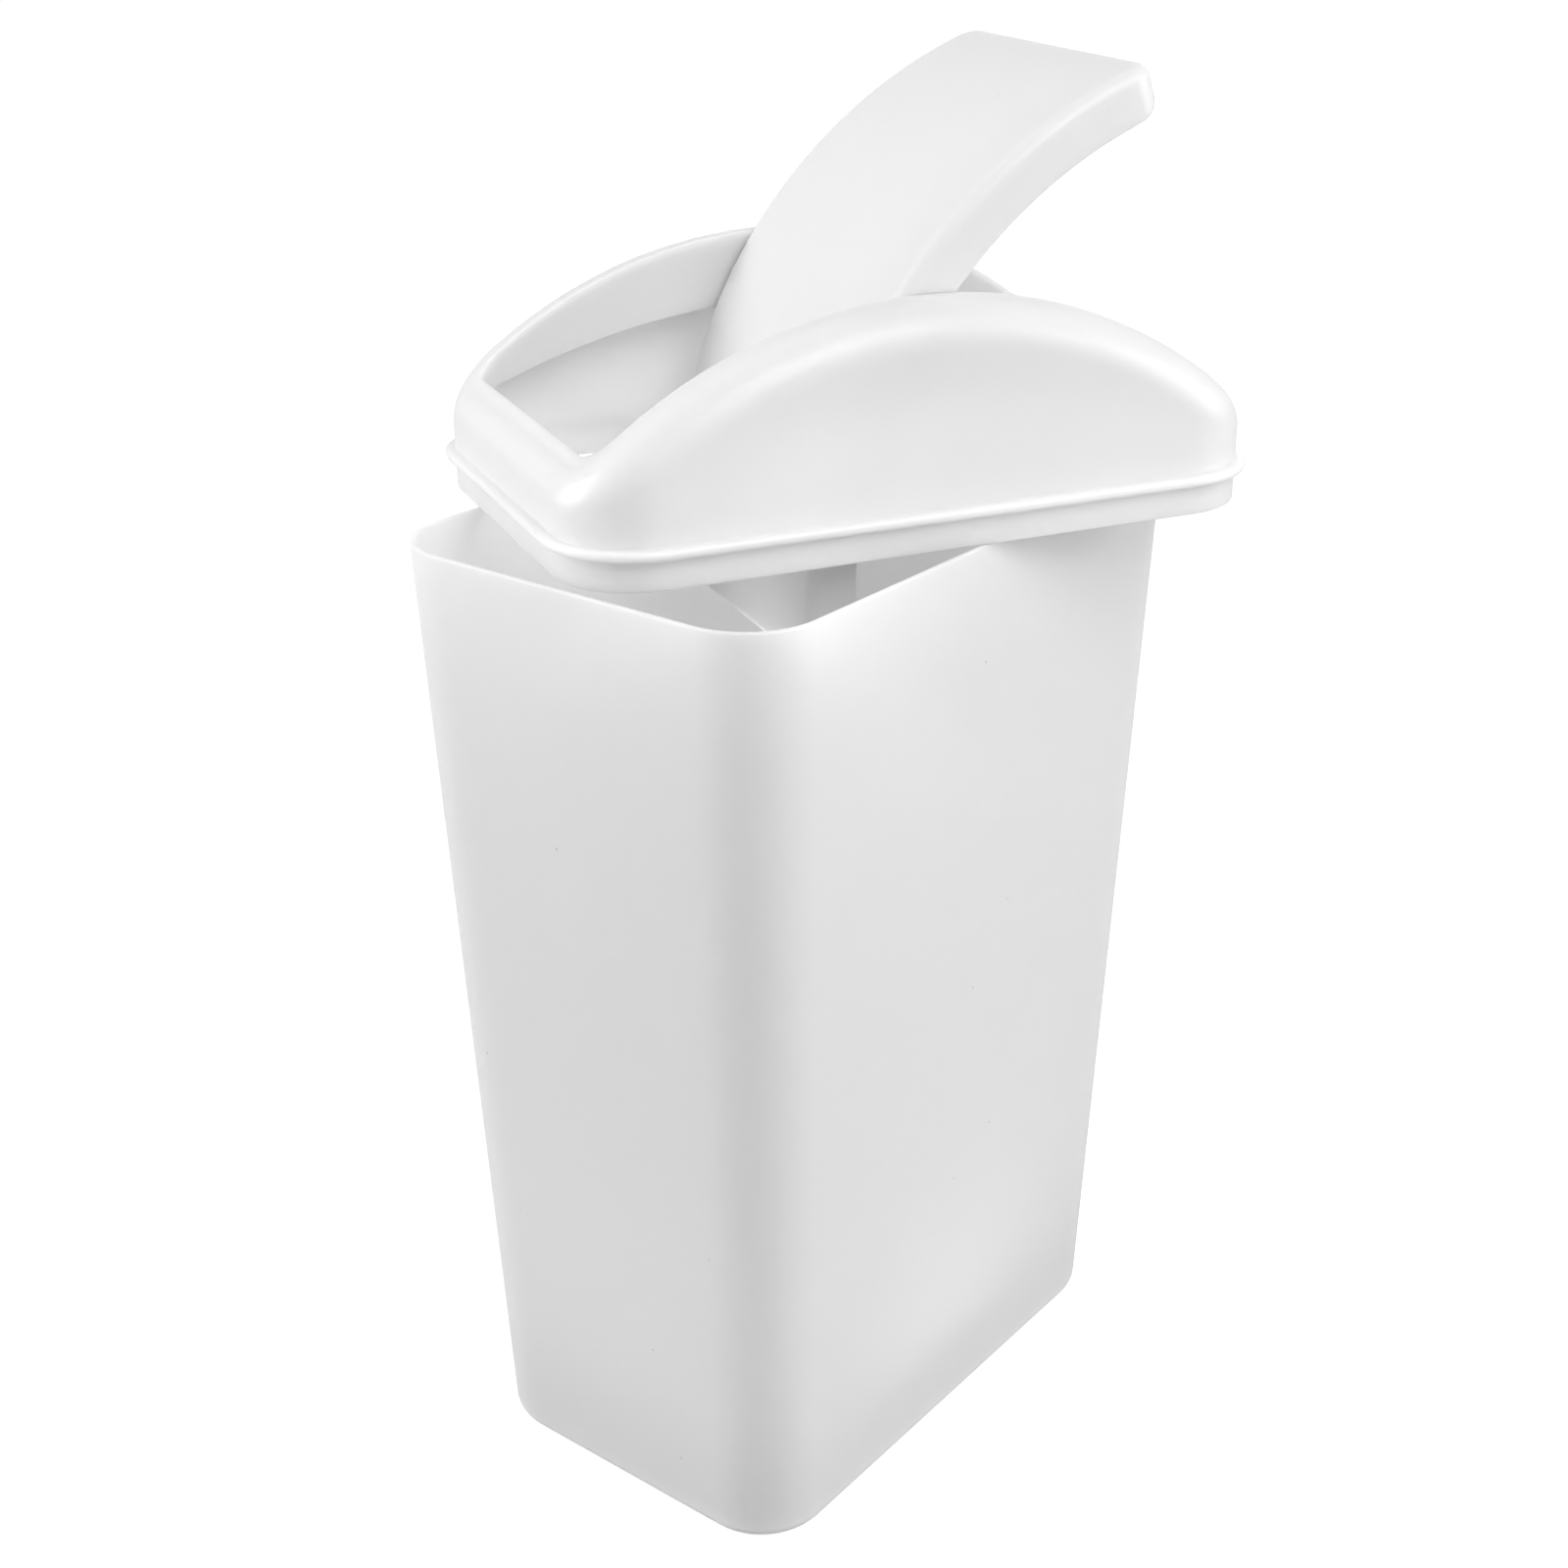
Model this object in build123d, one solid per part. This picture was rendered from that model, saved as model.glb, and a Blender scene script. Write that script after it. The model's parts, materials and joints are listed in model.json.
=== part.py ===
"""Countertop trash can: a tapered bin, a domed lid that plugs into its rim, and a swing flap.

Units are millimetres, +Z is up, and the origin is the centre of the face that the bin stands on.
The bin's long side runs along Y.  The lid and the flap are drawn in the lid's own frame, whose
origin is the centre of the plane where the lid's bead seats on the rim, and whose long side also
runs along Y.  They are then set down as the can is left for emptying: the lid lies level across
the rim, turned, with its flap swung open.
"""
from build123d import *
import os
from math import asin, degrees, sqrt

os.makedirs("parts", exist_ok=True)

# ---- bin -------------------------------------------------------------------------------------
bin_height = 260.0
rim_width = 118.0           # outside, across X
rim_length = 182.6          # outside, along Y
base_width = 103.7          # outside, across X
base_length = 161.6         # outside, along Y
bin_corner = 19.5           # radius of the four upright corners
bin_wall = 1.4
floor_thickness = 1.8
base_edge_radius = 4.5      # outer edge where the walls meet the underside
foot_width = 7.5            # from the outside to the inner edge of the ring that the bin stands on
foot_height = 1.6           # how far the floor is raised inside that ring
rim_chamfer = 0.4           # easing of the rim's two edges

# ---- lid -------------------------------------------------------------------------------------
lid_wall = 1.5
plug_depth = 7.6            # skirt that drops inside the rim
plug_clearance = 0.2        # between the skirt's lower edge and the bin, each side
bead_overhang = 0.7         # how far the bead stands out past the rim, each side
bead_thickness = 2.4
bead_edge_radius = 1.0
dome_corner = 20.2          # radius of the dome's upright corners
dome_edge_radius = 10.0     # soft edge between the arch and the walls
crest_height = 50.2         # top of the arch above the bead's seat
eave_height = 13.1          # where the arch would meet the end walls
side_rail = 12.2            # dome wall to opening, along the long sides
end_rail = 7.3              # dome wall to opening, at the two ends
opening_corner = 6.5

# ---- cheeks: the flange turned down round the opening, deepest where it carries the flap --------
cheek_wall = 1.6
cheek_depth = 18.7          # below the crest, at mid-length
cheek_end_depth = 6.5       # below the arch, at the two ends of the opening
boss_length = 3.0           # socket boss, standing out behind the cheek
boss_wall = 2.4

# ---- flap ------------------------------------------------------------------------------------
flap_wall = 1.5
flap_depth = 12.0           # turned-down skirt, measured square to the arch
flap_corner = 6.0
flap_edge_radius = 3.5
heel_radius = 10.0          # rounding of the skirt's lower corners, seen from the side
heel_past = 1.5             # from the flap's end out to the line that this rounding would run into
flap_side_gap = 0.5         # to the opening, each side
flap_end_gap = 0.6          # to the opening, each end
pivot_drop = 11.3           # pivot axis below the crest
pin_radius = 2.5
pin_clearance = 0.08        # radial, in the socket
pin_tip = 1.0               # pin standing past the back of its socket
pin_chamfer = 0.5
ear_margin = 3.5            # skirt material kept round the pin
rib_thickness = 1.2         # two webs behind each pin
rib_spacing = 8.0
rib_reach = 9.0

# ---- how the lid is set down on the rim ---------------------------------------------------------
lid_turn = -28.34           # degrees about Z
lid_shift_x = 3.07
lid_shift_y = 10.97
open_angle = 58.2           # degrees the flap is swung from closed

# ---- sizes worked out from the ones above -------------------------------------------------------
side_taper = (rim_width - base_width) / 2 / bin_height
end_taper = (rim_length - base_length) / 2 / bin_height
dome_width = rim_width - 2 * (bin_wall + side_taper * plug_depth + plug_clearance)
dome_length = rim_length - 2 * (bin_wall + end_taper * plug_depth + plug_clearance)
bead_width = rim_width + 2 * bead_overhang
bead_length = rim_length + 2 * bead_overhang
bead_corner = dome_corner + (bead_width - dome_width) / 2
opening_width = dome_width - 2 * side_rail
opening_length = dome_length - 2 * end_rail
flap_width = opening_width - 2 * flap_side_gap
flap_length = opening_length - 2 * flap_end_gap
arch_rise = crest_height - eave_height
arch_radius = ((dome_length / 2) ** 2 + arch_rise**2) / (2 * arch_rise)
arch_centre = crest_height - arch_radius
flap_reach = arch_radius * asin(flap_length / 2 / arch_radius)
pivot_height = crest_height - pivot_drop
socket_radius = pin_radius + pin_clearance
socket_length = cheek_wall + boss_length
past = 5.0                  # how far cutting and bounding bodies run past what they cut


# ---- small helpers ----------------------------------------------------------------------------
def upright(width, length, corner, low, high):
    """Upright block with rounded plan corners, between two heights."""
    return Pos(0, 0, low) * extrude(RectangleRounded(width, length, corner), high - low)


def crossbar(radius, length, centre_x):
    """Cylinder lying along X with its middle at centre_x on the pivot axis."""
    return Pos(centre_x, 0, pivot_height) * Rot(0, 90, 0) * Cylinder(radius, length)


def under_arc(radius, crown, low, half_length, half_width):
    """Solid from the height low up to an arc along Y whose top is at the height crown."""
    half_angle = degrees(asin(half_length / radius))
    shoulder = crown - radius + sqrt(radius**2 - half_length**2)
    arc = CenterArc((0, crown - radius), radius, 90 - half_angle, 2 * half_angle)
    left = (-half_length, shoulder)
    right = (half_length, shoulder)
    outline = arc + Polyline(left, (-half_length, low), (half_length, low), right)
    return extrude(Plane.YZ * make_face(outline), half_width, both=True)


def arch_height(y):
    """Height of the arch's outer face above the bead's seat, at a distance y along the lid."""
    return arch_centre + sqrt(arch_radius**2 - y**2)


def level_edges(shape, low, high):
    """Edges that lie between two heights and don't run up and down."""
    between = shape.edges().filter_by_position(Axis.Z, low, high)
    return between.filter_by(lambda edge: abs((edge % 0.5).Z) < 0.9)


def rising_edges(shape):
    """Edges that run up a tapered block's corners."""
    return shape.edges().filter_by(lambda edge: abs((edge % 0.5).Z) > 0.9)


# ---- bin: tapered walls, rounded foot, raised floor ----------------------------------------------
def tapered(inset, low, high):
    """Block that follows the bin's taper on all four sides, set in from the outside."""
    def profile(base, taper):
        lower = base / 2 + taper * low - inset
        upper = base / 2 + taper * high - inset
        return make_face(Polyline((-lower, low), (lower, low), (upper, high), (-upper, high), close=True))
    front = extrude(Plane.XZ * profile(base_width, side_taper), rim_length, both=True)
    side = extrude(Plane.YZ * profile(base_length, end_taper), rim_width, both=True)
    block = front & side
    return fillet(rising_edges(block), bin_corner - inset)


def make_bin():
    """Open bin: one moulding with a thin wall, an eased rim and a ring to stand on."""
    outside = tapered(0, 0, bin_height)
    outside = fillet(level_edges(outside, -0.1, 0.1), base_edge_radius)
    floor_top = foot_height + floor_thickness
    inside = tapered(bin_wall, floor_top, bin_height)
    inside = fillet(level_edges(inside, floor_top - 0.1, floor_top + 0.1), base_edge_radius - bin_wall)
    recess_width = base_width - 2 * foot_width
    recess_length = base_length - 2 * foot_width
    recess = upright(recess_width, recess_length, bin_corner - foot_width, -past, foot_height)
    shell = outside - inside - recess
    return chamfer(level_edges(shell, bin_height - 0.1, bin_height + 0.1), rim_chamfer)


# ---- lid: dome, plug skirt, bead, opening and cheeks ---------------------------------------------
def dome_block(inset):
    """Solid dome with its plug skirt, set in from the outside."""
    width = dome_width - 2 * inset
    length = dome_length - 2 * inset
    low = -plug_depth - (past if inset else 0)
    block = upright(width, length, dome_corner - inset, low, crest_height + past)
    block &= under_arc(arch_radius - inset, crest_height - inset, low, dome_length / 2 + past, dome_width)
    return fillet(level_edges(block, eave_height / 2, crest_height + past), dome_edge_radius - inset)


def make_cheeks():
    """Flange round the opening, deepest at mid-length, with a socket boss behind each side."""
    half_length = opening_length / 2
    crown = crest_height - cheek_depth
    sag = crown - (arch_height(half_length) - cheek_end_depth)
    radius = (half_length**2 + sag**2) / (2 * sag)
    back_width = opening_width + 2 * cheek_wall
    back_length = opening_length + 2 * cheek_wall
    reach = back_length / 2 + past
    ring = upright(back_width, back_length, opening_corner + cheek_wall, 0, crest_height + past)
    inner_arch = crest_height - lid_wall / 2
    ring &= under_arc(arch_radius - lid_wall / 2, inner_arch, 0, reach, back_width)
    ring -= under_arc(radius, crown, -past, reach, back_width)
    for side in (-1, 1):
        centre_x = side * (opening_width + socket_length) / 2
        ring += crossbar(socket_radius + boss_wall, socket_length, centre_x)
    return ring


def make_lid():
    """Domed lid: one moulding with bead, skirt, opening, cheeks and pivot sockets."""
    bead = upright(bead_width, bead_length, bead_corner, 0, bead_thickness)
    bead = fillet(level_edges(bead, -0.1, bead_thickness + 0.1), bead_edge_radius)
    lid = dome_block(0) + bead - dome_block(lid_wall)
    lid += make_cheeks()
    lid -= upright(opening_width, opening_length, opening_corner, 0, crest_height + past)
    return lid - crossbar(socket_radius, opening_width + 2 * socket_length, 0)


# ---- flap: a curved tray with a turned-down skirt and two stub pins ------------------------------
def arch_distance(edge):
    """Distance of an edge's middle from the arch's axis."""
    middle = edge @ 0.5
    return sqrt(middle.Y**2 + (middle.Z - arch_centre) ** 2)


def along_x(edge):
    """How far an edge's two ends differ across the flap."""
    return abs((edge @ 0).X - (edge @ 1).X)


def side_slab(outer, depth, reach, half_width, heel=0):
    """Curved slab along the arch, its lower corners rounded by heel as seen from the side.

    outer is its outer radius, depth is measured below the arch, and reach is half its length.
    """
    half_angle = degrees(reach / arch_radius)
    centre = (0, arch_centre)
    outer_arc = CenterArc(centre, outer, 90 - half_angle, 2 * half_angle)
    inner_arc = CenterArc(centre, arch_radius - depth, 90 - half_angle, 2 * half_angle)
    ends = Line(inner_arc @ 0, outer_arc @ 0) + Line(inner_arc @ 1, outer_arc @ 1)
    profile = make_face(outer_arc + inner_arc + ends)
    if heel:
        lower = profile.vertices().sort_by_distance(centre)[:2]
        profile = fillet(lower, heel)
    return extrude(Plane.YZ * profile, half_width, both=True)


def flap_block(inset, depth):
    """Solid curved tray between the arch and a smaller arc, set in from the outside."""
    outer = arch_radius - inset
    block = side_slab(outer, depth, flap_reach - inset, flap_width / 2 - inset)
    corners = block.edges().filter_by(GeomType.LINE).filter_by(lambda edge: along_x(edge) < 0.1)
    block = fillet(corners, flap_corner - inset)
    rim = block.edges().filter_by(lambda edge: arch_distance(edge) > outer - 0.1)
    return fillet(rim, flap_edge_radius - inset)


def make_ribs(side):
    """Two triangular webs that tie a pin's skirt to the underside of the tray."""
    root_x = side * (flap_width - flap_wall) / 2
    root_z = crest_height - flap_wall / 2
    tip_x = root_x - side * rib_reach
    corners = [(root_x, pivot_height - pin_radius), (root_x, root_z), (tip_x, root_z)]
    web = extrude(Plane.XZ * make_face(Polyline(*corners, close=True)), rib_thickness / 2, both=True)
    return Pos(0, rib_spacing / 2, 0) * web + Pos(0, -rib_spacing / 2, 0) * web


def make_pin(side):
    """Stub pin, from the inside of the skirt to just past its socket, with a chamfered tip."""
    length = flap_wall + flap_side_gap + socket_length + pin_tip
    pin = Cylinder(pin_radius, length)
    pin = chamfer(pin.edges().sort_by(Axis.Z)[-1], pin_chamfer)
    centre_x = side * (flap_width / 2 - flap_wall + length / 2)
    return Pos(centre_x, 0, pivot_height) * Rot(0, side * 90, 0) * pin


def make_flap():
    """Swing flap in its closed place: tray, ears, ribs and pins in one moulding."""
    flap = flap_block(0, flap_depth)
    reach = flap_reach + heel_past
    flap &= side_slab(arch_radius + past, flap_depth, reach, flap_width / 2 + past, heel_radius)
    for side in (-1, 1):
        flap += crossbar(pin_radius + ear_margin, flap_wall, side * (flap_width - flap_wall) / 2)
    flap -= flap_block(flap_wall, flap_depth + past)
    for side in (-1, 1):
        flap += make_ribs(side)
        flap += make_pin(side)
    return flap


# ---- place and write ----------------------------------------------------------------------------
lid_place = Pos(lid_shift_x, lid_shift_y, bin_height + plug_depth) * Rot(0, 0, lid_turn)
flap_swing = Pos(0, 0, pivot_height) * Rot(open_angle, 0, 0) * Pos(0, 0, -pivot_height)

pieces = {
    "bin_body": make_bin(),
    "lid_dome": lid_place * make_lid(),
    "swing_flap": lid_place * flap_swing * make_flap(),
}
for name, piece in pieces.items():
    export_step(piece, f"parts/{name}.step")
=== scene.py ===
"""Looks of a countertop trash can with a swing lid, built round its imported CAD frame.

Three white polypropylene mouldings stand in for the plain CAD nodes: a tapered bin, a domed lid that
lies turned across the rim, and a curved flap that hangs in the lid on two stub pins.  Each is one skin
grown ring by ring along its real section, so walls, beads, lips and edge roundings are all geometry.
Lengths are metres.  The lid and flap are drawn in the lid's own frame, with its origin at the middle
of the bead's seat and its long side along Y, and are then put where the frame's flap pivot says.
"""

import json
import logging
import math
from collections.abc import Iterable, Sequence
from dataclasses import dataclass
from enum import Enum

import bmesh
import bpy
from mathutils import Matrix, Vector


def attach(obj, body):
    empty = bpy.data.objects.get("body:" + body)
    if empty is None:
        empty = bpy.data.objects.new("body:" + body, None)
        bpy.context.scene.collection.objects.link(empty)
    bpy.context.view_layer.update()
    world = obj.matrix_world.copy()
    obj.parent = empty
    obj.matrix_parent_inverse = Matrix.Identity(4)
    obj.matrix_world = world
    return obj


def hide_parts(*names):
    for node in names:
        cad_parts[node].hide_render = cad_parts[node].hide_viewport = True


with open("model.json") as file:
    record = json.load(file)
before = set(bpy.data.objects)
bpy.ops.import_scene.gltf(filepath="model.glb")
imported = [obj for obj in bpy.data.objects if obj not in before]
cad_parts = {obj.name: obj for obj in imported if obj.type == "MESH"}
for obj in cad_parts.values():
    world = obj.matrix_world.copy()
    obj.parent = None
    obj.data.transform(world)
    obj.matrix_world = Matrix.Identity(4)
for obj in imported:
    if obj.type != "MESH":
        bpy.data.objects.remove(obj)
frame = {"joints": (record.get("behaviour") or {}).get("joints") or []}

log = logging.getLogger("trash_can")
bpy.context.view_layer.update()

Point = tuple[float, float, float]
Colour = tuple[float, float, float, float]
Section = list[tuple[float, float]]
Ring = list[Vector]

MM = 0.001
SIDE_STEPS = 30  # along each long side of an outline that doesn't place its own
WELD = 0.002 * MM  # points nearer than this become one
NEAR = 0.01 * MM  # points nearer than this to a plane lie in it
HAIR = 0.0001 * MM  # rows of points nearer than this are the same row
MICRONS = 1e6  # in a metre
NOISE_MIDDLE = 0.5  # the level that noise swings about
NOISE_GAIN = 0.5  # how strong each finer layer of noise is beside the one before
MIX_FACTOR, MIX_FIRST, MIX_SECOND, MIX_RESULT = 0, 6, 7, 2  # a Mix node's sockets when it mixes colours


def grey(level: float) -> Colour:
    """A neutral colour."""
    return (level, level, level, 1.0)


# ---------------------------------------------------------------------------------------------------
# Shader maths
# ---------------------------------------------------------------------------------------------------
class Signal:
    """A shader output that takes part in arithmetic, adding Math nodes as it goes."""

    def __init__(self, shader: "Shader", socket: bpy.types.NodeSocket) -> None:
        """Keep the shader that the socket belongs to."""
        self.shader = shader
        self.socket = socket

    def _math(self, operation: str, first: "Signal | float", second: "Signal | float") -> "Signal":
        """Join two values with a Math node.

        Args:
            operation: The Math node's operation.
            first: Its first value.
            second: Its second value.

        Returns:
            The node's result.
        """
        return self.shader.node("ShaderNodeMath", {"operation": operation}, {0: first, 1: second})

    def __add__(self, other: "Signal | float") -> "Signal":
        """self + other."""
        return self._math("ADD", self, other)

    def __radd__(self, other: float) -> "Signal":
        """other + self."""
        return self._math("ADD", other, self)

    def __sub__(self, other: "Signal | float") -> "Signal":
        """self - other."""
        return self._math("SUBTRACT", self, other)

    def __rsub__(self, other: float) -> "Signal":
        """other - self."""
        return self._math("SUBTRACT", other, self)

    def __mul__(self, other: "Signal | float") -> "Signal":
        """self * other."""
        return self._math("MULTIPLY", self, other)

    def __rmul__(self, other: float) -> "Signal":
        """other * self."""
        return self._math("MULTIPLY", other, self)

    def __lt__(self, other: "Signal | float") -> "Signal":
        """1 where self is less than other, else 0."""
        return self._math("LESS_THAN", self, other)


class Shader:
    """A node tree, and the one method that adds nodes to it."""

    def __init__(self, tree: bpy.types.NodeTree) -> None:
        """Start from an empty tree."""
        self.tree = tree
        self.tree.nodes.clear()

    def node(
        self, kind: str, settings: dict | None = None, sockets: dict | None = None, out: str | int = 0
    ) -> Signal:
        """Add one node.

        Args:
            kind: The node's type.
            settings: Its own settings, set before its sockets.
            sockets: Values or signals for its inputs, by name or place.
            out: Which output to return.

        Returns:
            The chosen output, or for a node with no outputs the node's first input.
        """
        made = self.tree.nodes.new(kind)
        for key, value in (settings or {}).items():
            setattr(made, key, value)
        for key, value in (sockets or {}).items():
            if isinstance(value, Signal):
                self.tree.links.new(value.socket, made.inputs[key])
            else:
                made.inputs[key].default_value = value
        return Signal(self, made.outputs[out] if len(made.outputs) else made.inputs[0])

    def mix(self, factor: Signal | float, first: Signal | Colour, second: Signal | Colour) -> Signal:
        """Blend two colours.

        Args:
            factor: 0 for the first, 1 for the second.
            first: A colour, or a signal that carries one.
            second: The other colour, or a signal that carries it.

        Returns:
            The blended colour.
        """
        sockets = {MIX_FACTOR: factor, MIX_FIRST: first, MIX_SECOND: second}
        return self.node("ShaderNodeMix", {"data_type": "RGBA"}, sockets, MIX_RESULT)


class Grain(Enum):
    """How fine a moulding's surface texture is: features per metre, and their depth in metres."""

    SPARKED = (1500.0, 0.012 * MM)
    POLISHED = (900.0, 0.004 * MM)

    @property
    def fineness(self) -> float:
        """Features per metre."""
        return self.value[0]

    @property
    def depth(self) -> float:
        """How deep the features are."""
        return self.value[1]


@dataclass(frozen=True)
class Polypropylene:
    """White polypropylene as it leaves the mould: satin, faintly mottled and never quite flat."""

    name: str
    level: float
    grain: Grain
    roughness: float = 0.40
    roughness_spread: float = 0.07
    mottle: float = 0.018
    mottle_size: float = 45.0 * MM
    mottle_detail: float = 3.0
    grain_detail: float = 2.0
    ripple_size: float = 30.0 * MM
    ripple_depth: float = 0.04 * MM
    ripple_detail: float = 1.0
    speck_spacing: float = 17.0 * MM
    speck_radius: float = 0.3 * MM
    speck_level: float = 0.42
    speck_warmth: float = 0.97
    speck_strength: float = 0.7
    refraction: float = 1.49
    bleed: float = 5.0 * MM

    def _noise(self, shader: Shader, where: Signal, scale: float, detail: float) -> Signal:
        """Soft noise with scale features in a metre."""
        sockets = {"Vector": where, "Scale": scale, "Detail": detail, "Roughness": NOISE_GAIN}
        return shader.node("ShaderNodeTexNoise", {"noise_dimensions": "3D"}, sockets)

    def _specks(self, shader: Shader, where: Signal) -> Signal:
        """Pick out the dust specks.

        Args:
            shader: The tree to add to.
            where: Places on the piece.

        Returns:
            1 on a speck, else 0.
        """
        cells = {"Vector": where, "Scale": 1.0 / self.speck_spacing, "Randomness": 1.0}
        nearest = shader.node("ShaderNodeTexVoronoi", {"feature": "F1"}, cells, "Distance")
        return nearest < self.speck_radius / self.speck_spacing

    def material(self) -> bpy.types.Material:
        """Build the finish.

        Returns:
            A material whose colour, roughness and relief all vary over the surface.
        """
        made = bpy.data.materials.new(self.name)
        made.use_nodes = True
        shader = Shader(made.node_tree)
        where = shader.node("ShaderNodeTexCoord", out="Object")
        cloud = self._noise(shader, where, 1.0 / self.mottle_size, self.mottle_detail)
        fine = self._noise(shader, where, self.grain.fineness, self.grain_detail)
        ripple = self._noise(shader, where, 1.0 / self.ripple_size, self.ripple_detail)
        speck = self._specks(shader, where)
        dust = (self.speck_level, self.speck_level, self.speck_level * self.speck_warmth, 1.0)
        body = shader.mix(cloud, grey(self.level), grey(self.level * (1.0 - 2.0 * self.mottle)))
        colour = shader.mix(speck * self.speck_strength, body, dust)
        uneven = (cloud - NOISE_MIDDLE) * self.roughness_spread
        rough = self.roughness + uneven + (fine - NOISE_MIDDLE) * self.roughness_spread
        relief = (fine - NOISE_MIDDLE) * (self.grain.depth / self.ripple_depth) + (ripple - NOISE_MIDDLE)
        bumped = {"Strength": 1.0, "Distance": self.ripple_depth, "Height": relief}
        normal = shader.node("ShaderNodeBump", {}, bumped)
        surface = {"Base Color": colour, "Roughness": rough, "Normal": normal, "IOR": self.refraction}
        surface |= {"Subsurface Weight": 1.0, "Subsurface Scale": self.bleed}
        surface |= {"Subsurface Radius": (1.0, 1.0, 1.0)}
        plastic = shader.node("ShaderNodeBsdfPrincipled", {}, surface)
        shader.node("ShaderNodeOutputMaterial", {}, {"Surface": plastic})
        return made


# ---------------------------------------------------------------------------------------------------
# Skins grown ring by ring
# ---------------------------------------------------------------------------------------------------
def spread(count: int) -> tuple[float, ...]:
    """Even places from -1 to 1, with count steps between them."""
    return tuple(2 * step / count - 1 for step in range(count + 1))


def turn(start: float, end: float, steps: int) -> list[tuple[float, float]]:
    """Cosine and sine of even steps from one angle to another, in degrees, both ends included."""
    angles = [math.radians(start + (end - start) * step / steps) for step in range(steps + 1)]
    return [(math.cos(angle), math.sin(angle)) for angle in angles]


def shares(steps: int) -> list[float]:
    """Even shares above 0, up to and with 1."""
    return [(step + 1) / steps for step in range(steps)]


@dataclass(frozen=True)
class Outline:
    """A rounded rectangle in plan, with matching points at every inset.

    Its points start on the +X side and run round towards +Y.  marks are the places of the points along
    the two long sides, from -1 to 1.
    """

    half_width: float
    half_length: float
    corner: float
    marks: tuple[float, ...] = spread(SIDE_STEPS)
    corner_steps: int = 12
    end_steps: int = 14

    def around(self, inset: float = 0.0) -> list[tuple[Vector, Vector]]:
        """Points of the outline set in by inset.

        Args:
            inset: Distance inwards; negative is outwards.

        Returns:
            Each point and its outward direction, both level.
        """
        reach = (self.half_width - self.corner, self.half_length - self.corner)
        radius = self.corner - inset
        found = []
        for quarter, (cx, cy) in enumerate(((1, 0), (0, 1), (-1, 0), (0, -1))):
            out, along = Vector((cx, cy, 0)), Vector((-cy, cx, 0))
            middle = out * reach[quarter % 2]
            run = along * reach[1 - quarter % 2]
            marks = spread(self.end_steps) if quarter % 2 else self.marks
            found += [(middle + out * radius + run * mark, out) for mark in marks[:-1]]
            for cosine, sine in turn(0, 90, self.corner_steps)[:-1]:
                way = out * cosine + along * sine
                found.append((middle + run + way * radius, way))
        return found


class Skin:
    """A skin grown from one ring of points to the next."""

    def __init__(self) -> None:
        """Start with nothing."""
        self.mesh = bmesh.new()
        self.ring: list[bmesh.types.BMVert] = []
        self.slot = 0

    def begin(self, points: Iterable[Vector]) -> None:
        """Lay the first ring.

        Args:
            points: Where it lies.
        """
        self.ring = [self.mesh.verts.new(point) for point in points]
        for first, second in zip(self.ring, self.ring[1:] + self.ring[:1]):
            self.mesh.edges.new((first, second))

    def grow(self, points: Iterable[Vector]) -> None:
        """Extrude the ring and put its new points in place.

        Args:
            points: Where the new ring lies, in the old ring's order.
        """
        pairs = zip(self.ring, self.ring[1:] + self.ring[:1])
        edges = [self.mesh.edges.get(pair) for pair in pairs]
        made = bmesh.ops.extrude_edge_only(self.mesh, edges=edges)["geom"]
        fresh = {item for item in made if isinstance(item, bmesh.types.BMVert)}
        for face in (item for item in made if isinstance(item, bmesh.types.BMFace)):
            face.material_index = self.slot
        joined = []
        for old in self.ring:
            others = (edge.other_vert(old) for edge in old.link_edges)
            joined.append(next(vert for vert in others if vert in fresh))
        for vert, point in zip(joined, points):
            vert.co = point
        self.ring = joined

    def grow_all(self, rings: Iterable[Iterable[Vector]]) -> None:
        """Grow through several rings in turn."""
        for points in rings:
            self.grow(points)

    def cap(self) -> None:
        """Close the ring with one flat face."""
        made = bmesh.ops.contextual_create(self.mesh, geom=self.ring)["faces"]
        for face in made:
            face.material_index = self.slot

    def weld(self) -> None:
        """Join what meets, and turn every face outwards."""
        bmesh.ops.remove_doubles(self.mesh, verts=self.mesh.verts, dist=WELD)
        bmesh.ops.recalc_face_normals(self.mesh, faces=self.mesh.faces)


def moulding(name: str, shape: bmesh.types.BMesh, finishes: Sequence[bpy.types.Material]) -> bpy.types.Object:
    """Turn a finished mesh into an object of the scene.

    Args:
        name: The object's name.
        shape: Its mesh, which is used up.
        finishes: Its materials, in slot order.

    Returns:
        The new object, at the origin.
    """
    data = bpy.data.meshes.new(name)
    shape.to_mesh(data)
    shape.free()
    for finish in finishes:
        data.materials.append(finish)
    made = bpy.data.objects.new(name, data)
    bpy.context.scene.collection.objects.link(made)
    return made


class Joining(Enum):
    """What a tool does to a body."""

    ADD = "UNION"
    CUT = "DIFFERENCE"


def combine(body: bpy.types.Object, tool: bpy.types.Object, joining: Joining) -> None:
    """Add a tool to a body, or cut it out, and use the tool up.

    Args:
        body: The object that changes.
        tool: A closed shape.
        joining: Whether the tool is added or cut out.
    """
    modifier = body.modifiers.new(joining.name, "BOOLEAN")
    modifier.object = tool
    modifier.operation = joining.value
    modifier.solver = "EXACT"
    ready = body.evaluated_get(bpy.context.evaluated_depsgraph_get())
    data = bpy.data.meshes.new_from_object(ready)
    body.modifiers.clear()
    body.data = data
    bpy.data.objects.remove(tool)


def smooth(body: bpy.types.Object, limit: float = 38.0) -> None:
    """Shade a moulding smooth, but keep its real creases, at limit degrees and over."""
    body.data.polygons.foreach_set("use_smooth", [True] * len(body.data.polygons))
    body.data.set_sharp_from_angle(angle=math.radians(limit))


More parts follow.
